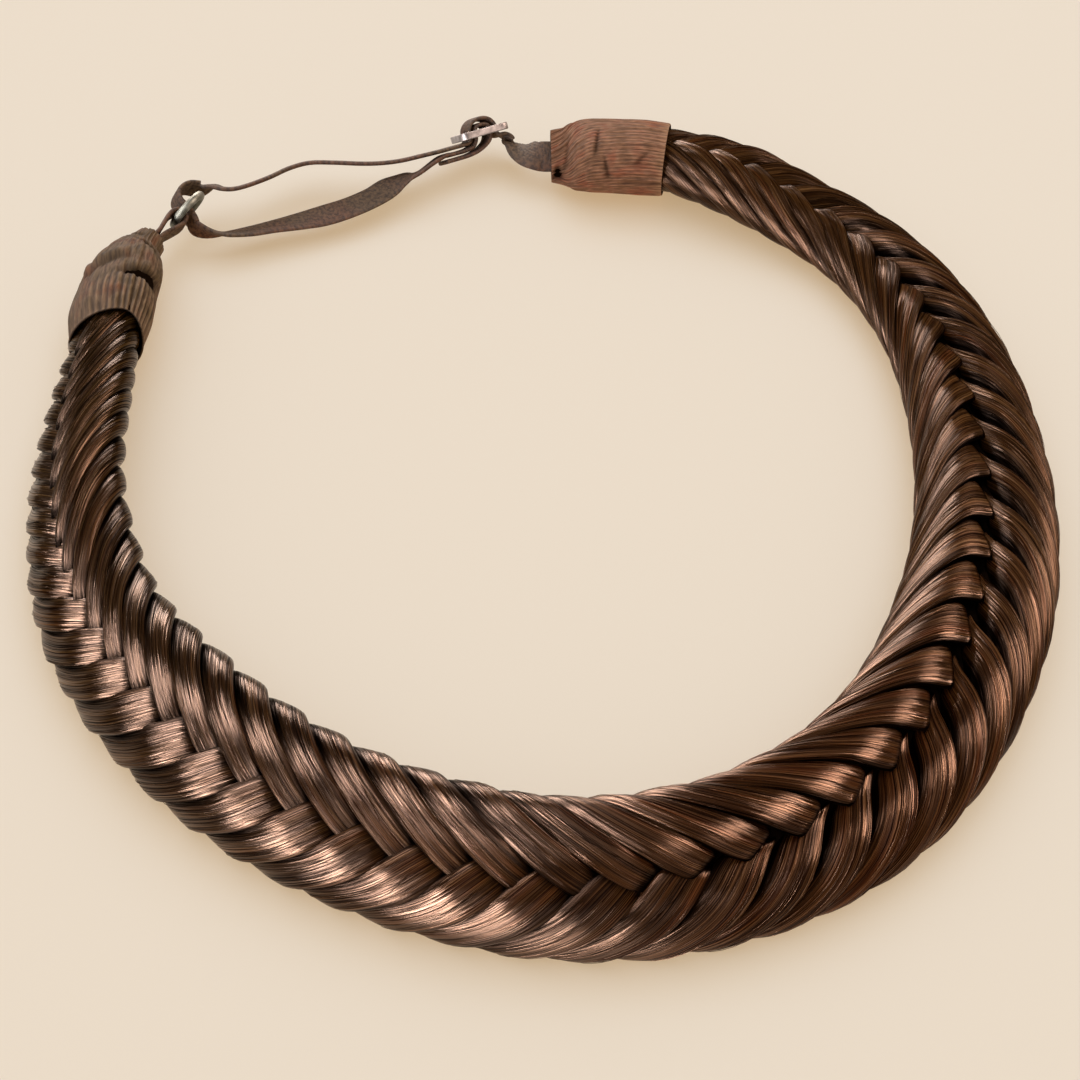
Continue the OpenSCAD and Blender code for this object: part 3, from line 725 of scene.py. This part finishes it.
def strap(name, table, steps, cords):
    """A flat strap carried along a table's smooth path. Its section is a flat oval,
    (1 - |x|^8)^0.5 high at x from -1 to 1 across, with one ridge for each covered rubber thread
    on both faces."""
    rows = smooth_row(table, np.linspace(0, len(table) - 1, steps * (len(table) - 1) + 1))
    place = rows[:, :3]
    way = unit(np.gradient(place, axis=0))
    across = rows[:, 3:6]
    side = unit(across - (across * way).sum(-1, keepdims=True) * way)
    up = np.cross(way, side)
    even = np.linspace(-1, 1, cords * RIB_SIDES)
    x = 0.25 * np.sin(even * np.pi / 2) + 0.75 * even
    body = STRAP_T / 2 * (1 - np.abs(x) ** 8) ** 0.5
    ridge = CORD_RIDGE * (np.cos(TAU * cords / 2 * (x + 1) + np.pi) - 1) / 2 * (1 - x ** 8)
    flat = np.concatenate([x, x[-2:0:-1]])
    height = np.concatenate([body + ridge, -(body + ridge)[-2:0:-1]])
    half = rows[:, 6, None] / 2
    rings = (place[:, None] + (half * flat)[..., None] * side[:, None]
             + height[None, :, None] * up[:, None])
    u = np.concatenate([flat, flat[:1]])[None] * half
    uv = np.stack(np.broadcast_arrays(u, run_length(place)[:, None]), -1)[None] / UV_MM
    return closed_tube(name, rings[None], uv)


# Materials

def linear(code):
    """Linear RGBA of an sRGB hex colour."""
    s = np.array([int(code[i:i + 2], 16) for i in (1, 3, 5)]) / 255
    low, high = s / 12.92, ((s + 0.055) / 1.055) ** 2.4
    return (*np.where(s <= 0.04045, low, high), 1.0)


def set_sockets(tree, node, values):
    """Gives a node its inputs: a socket or a node's first one is linked, other values are set."""
    for key, value in values.items():
        if isinstance(value, bpy.types.Node):
            value = value.outputs[0]
        if isinstance(value, bpy.types.NodeSocket):
            tree.links.new(value, node.inputs[key])
        else:
            node.inputs[key].default_value = value


def add(tree, kind, inputs=None, stops=None, **settings):
    """Adds a node of a kind, which is named without the word ShaderNode: settings are its
    properties, inputs its values and links, and stops the places and colours of its ramp."""
    node = tree.nodes.new("ShaderNode" + kind)
    for key, value in settings.items():
        setattr(node, key, value)
    if stops:
        ramp = node.color_ramp
        for place, colour in stops[1:-1]:
            ramp.elements.new(place)
        for element, (place, colour) in zip(ramp.elements, stops):
            element.position = place
            element.color = linear(colour)
    set_sockets(tree, node, inputs or {})
    return node


def new_material(name):
    """An empty material and its tree, with a Principled surface on its output."""
    material = bpy.data.materials.new(name)
    material.use_nodes = True
    tree = material.node_tree
    tree.nodes.clear()
    surface = add(tree, "BsdfPrincipled")
    add(tree, "OutputMaterial", {"Surface": surface})
    return material, tree, surface


def coated(tree, colour, coats, share=1.0, way="MULTIPLY"):
    """A colour with each coat laid over it in turn, by the share given: multiplied, or mixed in."""
    for coat in coats:
        colour = add(tree, "Mix", {0: share, 6: colour, 7: coat},
                     data_type="RGBA", blend_type=way).outputs[2]
    return colour


def drawn_grain(tree, uv, across, along, detail=2, **inputs):
    """Soft noise drawn out along a piece, with so many grains across and along in a UV unit."""
    place = add(tree, "Mapping", {"Vector": uv, "Scale": (across, along, 1)})
    return add(tree, "TexNoise", {"Vector": place, "Scale": 1, "Detail": detail, **inputs},
               noise_dimensions="2D")


def marks(tree, *names):
    """The UV map and the named attributes of a piece."""
    uv = add(tree, "UVMap", uv_map="strands")
    found = (add(tree, "Attribute", attribute_name=key).outputs["Fac"] for key in names)
    return (uv, *found)


def glossy_fibre_hair():
    """Modacrylic hair, combed into locks: dark brown strands whose colour changes from strand to
    strand, greener on the left and redder on the right, with shade painted into the colour in the
    grooves between strands and where a lock lies under its neighbours, and a sheen that runs in
    bands straight across them and stays off the strands with painted shade or dulled sheen."""
    material, tree, surface = new_material("glossy_fibre_hair")
    uv, head, between, shade_share, dull = marks(tree, "round_head", "between", "painted_shade", "dulled")
    # A strand is 0.08 mm wide. It is drawn 0.18 mm wide, so that it shows, and 40 mm long, in
    # clumps of 2 mm
    streak = drawn_grain(tree, uv, 560, 2.6, Roughness=0.7)
    clump = drawn_grain(tree, uv, 45, 1.6, detail=1)
    brown = add(tree, "ValToRGB", {"Fac": streak},
                stops=[(0.34, "#1c0e05"), (0.45, "#3a2310"), (0.56, "#5c4024"), (0.68, "#836243")])
    warm = add(tree, "ValToRGB", {"Fac": clump},
               stops=[(0.3, "#a6998a"), (0.55, "#ffffff"), (0.8, "#ffd9c4")])
    hue = add(tree, "ValToRGB", {"Fac": head},
              stops=[(0.0, "#b6c2a4"), (0.2, "#c2c2a6"), (0.36, "#cfc8b0"), (0.46, "#dccbb4"),
                     (0.54, "#f6dcc4"), (0.68, "#fff6e2"), (1.0, "#fff8e4")])
    # Painted shade: darker in the grooves between the strand waves, and near black brown where a lock
    # lies under a neighbour
    shadow = add(tree, "ValToRGB", {"Fac": between}, stops=[(0.35, "#ffffff"), (0.95, "#7a6450")])
    painted_shade = add(tree, "ValToRGB", {"Fac": shade_share}, stops=[(0.0, "#ffffff"), (1.0, "#2a1d14")])
    colour = coated(tree, brown, [warm, hue, shadow, painted_shade])
    # The sheen: weak on the dark strands, and nearly gone where shade is painted or the sheen is dulled
    shaded = add(tree, "Math", {0: shade_share, 1: dull}, operation="MAXIMUM")
    open_share = add(tree, "MapRange", {"Value": shaded, "To Min": 1.0, "To Max": 0.03})
    on_strand = add(tree, "MapRange", {"Value": streak, "From Min": 0.43, "From Max": 0.6,
                                       "To Min": 0.06, "To Max": 0.95})
    sheen = add(tree, "Math", {0: on_strand, 1: open_share}, operation="MULTIPLY")
    rough = add(tree, "MapRange", {"Value": streak, "From Min": 0.3, "From Max": 0.7,
                                   "To Min": 0.34, "To Max": 0.27})
    # Each strand, here 0.17 mm wide, leans a little up or down along its run, so the sheen's
    # edge is ragged
    tangent = add(tree, "Tangent", direction_type="UV_MAP", uv_map="strands")
    facing = add(tree, "NewGeometry").outputs["Normal"]
    strand_way = add(tree, "VectorMath", {0: facing, 1: tangent}, operation="CROSS_PRODUCT")
    much = add(tree, "MapRange", {"Value": drawn_grain(tree, uv, 600, 8), "From Min": 0.2,
                                  "From Max": 0.8, "To Min": -0.14, "To Max": 0.14})
    lean = add(tree, "VectorMath", {0: strand_way, "Scale": much}, operation="SCALE")
    leant = add(tree, "VectorMath", {0: facing, 1: lean}, operation="ADD")
    leant = add(tree, "VectorMath", {0: leant}, operation="NORMALIZE")
    bump = add(tree, "Bump", {"Strength": 0.45, "Distance": 0.12 * MM, "Normal": leant,
                              "Height": drawn_grain(tree, uv, 480, 4)})
    set_sockets(tree, surface, {
        "Base Color": colour, "Roughness": rough, "IOR": 1.55, "Specular IOR Level": sheen,
        "Specular Tint": linear("#ffd4b8"), "Metallic": 0.06, "Anisotropic": 0.9,
        "Normal": bump, "Tangent": tangent})
    return material


def shaded_hair_core():
    """Hair deep in the braid, coloured nearly black as painted shade, since almost no light comes
    there, with browner streaks of 2.5 mm."""
    material, tree, surface = new_material("shaded_hair_core")
    place = add(tree, "TexCoord").outputs["Object"]
    streaks = add(tree, "TexNoise", {"Vector": place, "Scale": 400, "Detail": 2})
    tone = add(tree, "ValToRGB", {"Fac": streaks}, stops=[(0.4, "#040302"), (0.65, "#120a06")])
    set_sockets(tree, surface, {"Base Color": tone, "Roughness": 1.0, "Specular IOR Level": 0.0})
    return material


def stretch_knit(name, valley, ridge, rim, mottle):
    """Brushed rib knit with light and shade painted into its colour: lighter on the ribs and darker
    between them, painted shade in the creases and on the inner wall, a band of its own colour at
    the mouth and a soft mottle of wear. A little fuzz catches the light."""
    material, tree, surface = new_material(name)
    uv, rib, hollow_shade, mouth = marks(tree, "rib", "hollow_shade", "mouth_rim")
    # Yarns are 0.5 mm wide and show for 3 mm, wear patches are 6 mm across
    yarns = drawn_grain(tree, uv, 190, 34)
    wear = drawn_grain(tree, uv, 16, 16)
    # Painted light and shade: lighter on the ribs, darker in the valleys between them
    rib_light_and_shade = add(tree, "ValToRGB", {"Fac": rib}, stops=[(0.15, valley), (0.85, ridge)])
    yarn = add(tree, "ValToRGB", {"Fac": yarns}, stops=[(0.35, "#c4bcb4"), (0.62, "#ffffff")])
    worn = add(tree, "ValToRGB", {"Fac": wear}, stops=mottle)
    colour = coated(tree, rib_light_and_shade, [yarn, worn])
    colour = coated(tree, colour, [linear(rim)], mouth, "MIX")
    # Painted shade: the creases and the inner wall are mixed towards near black
    colour = coated(tree, colour, [linear("#120a05")], hollow_shade, "MIX")
    bump = add(tree, "Bump", {"Strength": 0.8, "Distance": 0.25 * MM, "Height": yarns})
    gloss = add(tree, "MapRange", {"Value": hollow_shade, "To Min": 0.2, "To Max": 0.0})
    set_sockets(tree, surface, {
        "Base Color": colour, "Roughness": 0.9, "Specular IOR Level": gloss,
        "Sheen Weight": 0.01, "Sheen Tint": linear("#ffd0b0"), "Normal": bump})
    return material


def woven_elastic():
    """Flat woven elastic: brown threads over rubber cords, crossed every 0.7 mm, redder in patches."""
    material, tree, surface = new_material("woven_elastic")
    uv, = marks(tree)
    weft = drawn_grain(tree, uv, 110, 140)
    patch = drawn_grain(tree, uv, 7, 7, detail=1)
    threads = add(tree, "ValToRGB", {"Fac": weft}, stops=[(0.33, "#433120"), (0.67, "#6f5842")])
    redder = add(tree, "ValToRGB", {"Fac": patch}, stops=[(0.42, "#f0ece0"), (0.68, "#ffd6c2")])
    bump = add(tree, "Bump", {"Strength": 0.8, "Distance": 0.2 * MM, "Height": weft})
    set_sockets(tree, surface, {
        "Base Color": coated(tree, threads, [redder]), "Roughness": 0.75,
        "Specular IOR Level": 0.25, "Normal": bump})
    return material


def satin_nickel(name, dull, bright, smooth, rough):
    """Tumbled nickel plate: soft reflections, with duller patches of 2 mm."""
    material, tree, surface = new_material(name)
    place = add(tree, "TexCoord").outputs["Object"]
    patch = add(tree, "TexNoise", {"Vector": place, "Scale": 500, "Detail": 2})
    tone = add(tree, "ValToRGB", {"Fac": patch}, stops=[(0.35, dull), (0.65, bright)])
    worn = add(tree, "MapRange", {"Value": patch, "To Min": smooth, "To Max": rough})
    set_sockets(tree, surface, {"Base Color": tone, "Metallic": 1.0, "Roughness": worn})
    return material


def back_lit_acrylic():
    """The floor: an even, pale, matt acrylic sheet, lit softly from beneath, which mirrors no
    lamp and keeps the shadows light and warm."""
    material, tree, surface = new_material("back_lit_acrylic")
    set_sockets(tree, surface, {"Base Color": linear("#a8b5bf"), "Roughness": 0.9,
                                "Specular IOR Level": 0.0, "Emission Color": linear("#ffd9a7"),
                                "Emission Strength": 0.465})
    return material


# Making the pieces

def dress(piece, material, slot, *nodes):
    """Gives a piece its material and its body, and hides the CAD nodes that it stands for. Its slot
    is not used.
    """
    piece.data.materials.clear()
    piece.data.materials.append(material)
    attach(piece, "root")
    if nodes:
        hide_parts(*nodes)
    return piece


hair = glossy_fibre_hair()
for side, outer in (("outer", True), ("inner", False)):
    for half, first, last in (("left", 0, MIDDLE_LOCK), ("right", MIDDLE_LOCK, LAST_LOCK)):
        piece, tops, angle = locks(side + "_locks_" + half, outer, first, last)
        dress(piece, hair, "hair", "hair_braid")
        dress(loose_strands(side + "_strands_" + half, tops, angle, HAIRS_PER_LOCK), hair, "hair")
dress(braid_core("braid_core"), shaded_hair_core(), "hair", "hair_braid")

left_sleeve = sleeve("left_sleeve", LEFT_SLEEVE, True, ribs=38, rib_height=0.26, rib_fade=0.72,
                     wrinkle_height=0.12, reach=4.5, hug=0.9, creases=LEFT_CREASES)
brown_knit = stretch_knit("brushed_brown_rib_knit", "#5c4734", "#93785c", "#7d6248",
                          [(0.38, "#d4d2bc"), (0.55, "#ffffff"), (0.72, "#f6d2c0")])
dress(left_sleeve, brown_knit, "left_knit", "left_wrap")

right_sleeve = sleeve("right_sleeve", RIGHT_SLEEVE, False, ribs=62, rib_height=0.11, rib_fade=0.25,
                      wrinkle_height=0.17, reach=0, hug=0.3, creases=RIGHT_CREASES)
red_knit = stretch_knit("reddish_fine_rib_knit", "#8a6248", "#ae7e60", "#b8906c",
                        [(0.36, "#dcd8c8"), (0.52, "#ffffff"), (0.72, "#fad8c8")])
dress(right_sleeve, red_knit, "right_knit", "right_wrap")

elastic = woven_elastic()
dress(strap("strap", STRAP_TABLE, 6, 10), elastic, "elastic", "elastic_strap")
dress(strap("tab", TAB_TABLE, 6, 7), elastic, "elastic", "ring_tab")

# The ring and the slider keep their CAD shape; the slider's edges are tumbled round
for node, finish in (("ring", ("aged_satin_nickel", "#5f6159", "#91938a", 0.5, 0.7)),
                     ("slider", ("pale_satin_nickel", "#736f6e", "#a39e9c", 0.4, 0.6))):
    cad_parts[node].data.materials.clear()
    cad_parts[node].data.materials.append(satin_nickel(*finish))
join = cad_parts["slider"].modifiers.new("join_faces", "WELD")
join.merge_threshold = 0.002 * MM
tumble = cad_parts["slider"].modifiers.new("round_edges", "BEVEL")
tumble.width = 0.22 * MM
tumble.segments = 3
tumble.limit_method = "ANGLE"
tumble.use_clamp_overlap = True


# Setting

def place_camera():
    """The photograph's view: 50 degrees above the surface, 350 mm from the loop's middle."""
    data = bpy.data.cameras.new("camera")
    data.lens = 60
    data.sensor_width = 36
    camera = new_object("camera", data)
    place = (np.array([0.5, -236.98, 268.12]) + HOME) * MM
    target = (np.array([0.5, -12, 0]) + HOME) * MM
    camera.location = place
    camera.rotation_euler = Vector(target - place).to_track_quat("-Z", "Y").to_euler()
    bpy.context.scene.camera = camera


def floor():
    """The surface that the headband lies on: a square sheet at height 0."""
    half = 3.0
    mesh = bpy.data.meshes.new("floor")
    mesh.from_pydata([(-half, -half, 0), (half, -half, 0), (half, half, 0), (-half, half, 0)], [],
                     [(0, 1, 2, 3)])
    mesh.materials.append(back_lit_acrylic())
    new_object("floor", mesh)


def lamp(name, place, side, power, colour, matt=True, sheen=True):
    """A square soft box that faces the middle. One that is off for matt surfaces only draws the
    sheen, and one that is off for sheen only lights and shades, as a flagged studio lamp does."""
    data = bpy.data.lights.new(name, "AREA")
    data.shape = "RECTANGLE"
    data.size = data.size_y = side
    data.energy = power
    data.color = linear(colour)[:3]
    light = new_object(name, data)
    light.location = place
    light.visible_diffuse = matt
    light.visible_glossy = sheen
    to_middle = Vector((0, 0, 0)) - Vector(place)
    light.rotation_euler = to_middle.to_track_quat("-Z", "Y").to_euler()


def dome():
    """Soft light from all round: low and warm at the horizon, paler and brighter overhead, as from
    a large lit ceiling. Its strength is 0.62 + 0.2 h^3 at the height h, from 0 to 1."""
    world = bpy.data.worlds.new("soft_dome")
    bpy.context.scene.world = world
    world.cycles_visibility.glossy = False
    world.use_nodes = True
    tree = world.node_tree
    tree.nodes.clear()
    way = add(tree, "TexCoord").outputs["Generated"]
    height = add(tree, "SeparateXYZ", {0: way}).outputs["Z"]
    above = add(tree, "Math", {0: height, 1: 0.0}, operation="MAXIMUM")
    cube = add(tree, "Math", {0: above, 1: 3.0}, operation="POWER")
    strength = add(tree, "Math", {0: cube, 1: 0.2, 2: 0.62}, operation="MULTIPLY_ADD")
    colour = add(tree, "ValToRGB", {"Fac": height}, stops=[(0.1, "#ffd2a4"), (0.6, "#fff2e0")])
    light = add(tree, "Background", {"Color": colour, "Strength": strength})
    add(tree, "OutputWorld", {"Surface": light})


place_camera()
floor()
lamp("overhead_soft_box", (0, 0.1, 1.2), 1.8, 5.5, "#f4f6ff", sheen=False)
lamp("back_soft_box", (0.15, 0.7, 0.9), 0.8, 1.5, "#d8e8ff", sheen=False)
lamp("front_sheen_box", (-0.48, -0.84, 0.26), 0.25, 9, "#fff2ec", matt=False)
lamp("left_sheen_box", (-0.7, -0.6, 0.38), 0.35, 20, "#fff6f6", matt=False)
lamp("high_sheen_box", (-0.65, 0.02, 0.77), 0.32, 16, "#fff6f6", matt=False)
lamp("back_sheen_box", (-0.3, 0.9, 0.32), 0.4, 15, "#ffece0", matt=False)
lamp("right_sheen_box", (0.74, 0.1, 0.66), 0.45, 18, "#ffe2d0", matt=False)
dome()
bpy.context.scene.view_settings.view_transform = "Standard"
